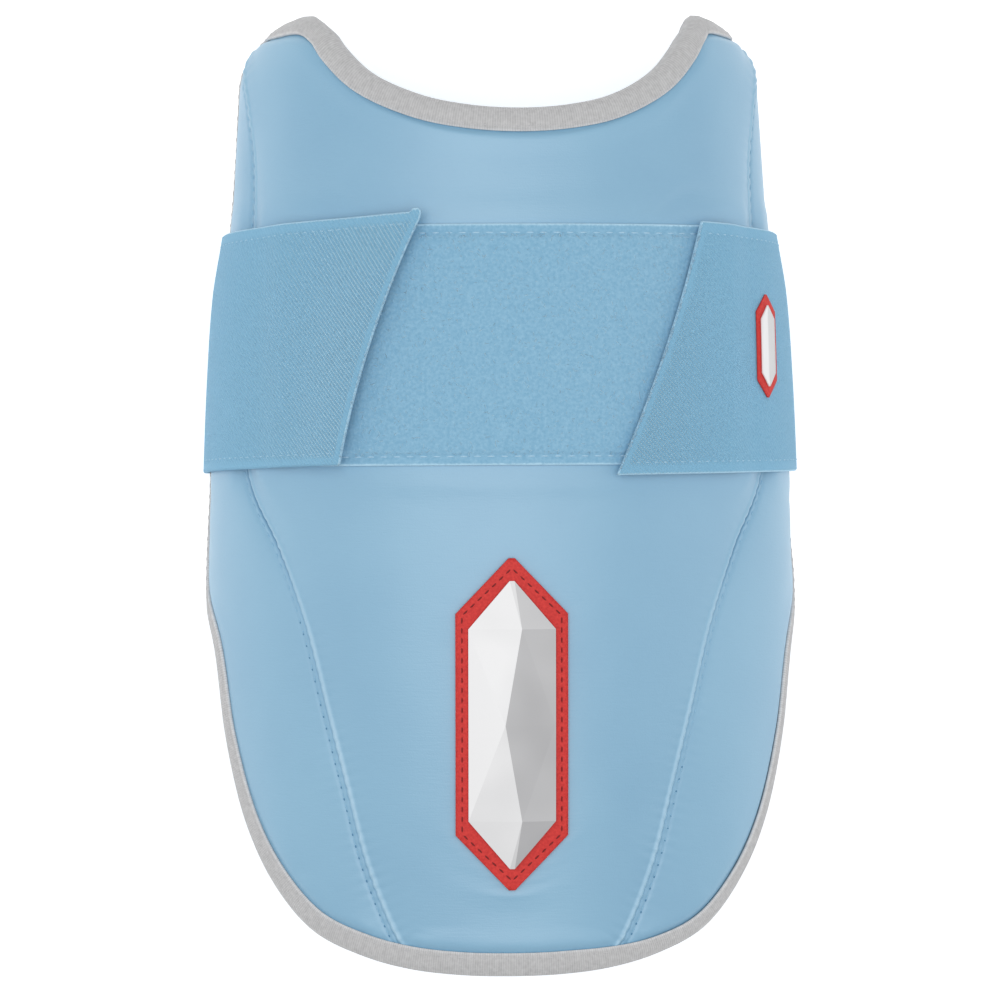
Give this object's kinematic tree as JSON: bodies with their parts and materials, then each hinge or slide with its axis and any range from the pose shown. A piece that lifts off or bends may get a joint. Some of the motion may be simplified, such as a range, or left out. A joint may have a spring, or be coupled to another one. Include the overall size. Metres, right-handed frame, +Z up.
{
  "type": "elbow guard",
  "caption": "Curved padded guard that shields a batter's elbow, with a bound edge, a loop field across the front and an elastic strap that closes it round the arm",
  "frame": {"origin": "on the resting surface, under the middle of the bounding box", "axes": "X across the arm, Y along the arm from the rounded foot to the scooped end, Z up out of the guard's outer face"},
  "size_m": [0.1582, 0.2512, 0.0664],
  "materials": {
    "cover": "matt synthetic leather with a very fine crosswise grain, light blue",
    "tape": "matt ribbed binding tape, light grey",
    "loop_pile": "fuzzy loop pile, blue",
    "elastic": "woven elastic with a fine diagonal rib, blue",
    "patch_felt": "matt red patch backing, sewn round",
    "patch_face": "satin white moulded face with flat facets"
  },
  "bodies": {
    "root": {"front_panel": "cover", "side_panel_left": "cover", "side_panel_right": "cover", "edge_binding": "tape", "loop_field": "loop_pile", "strap": "elastic", "emblem_base": "patch_felt", "emblem_face": "patch_face"}
  },
  "joints": []
}
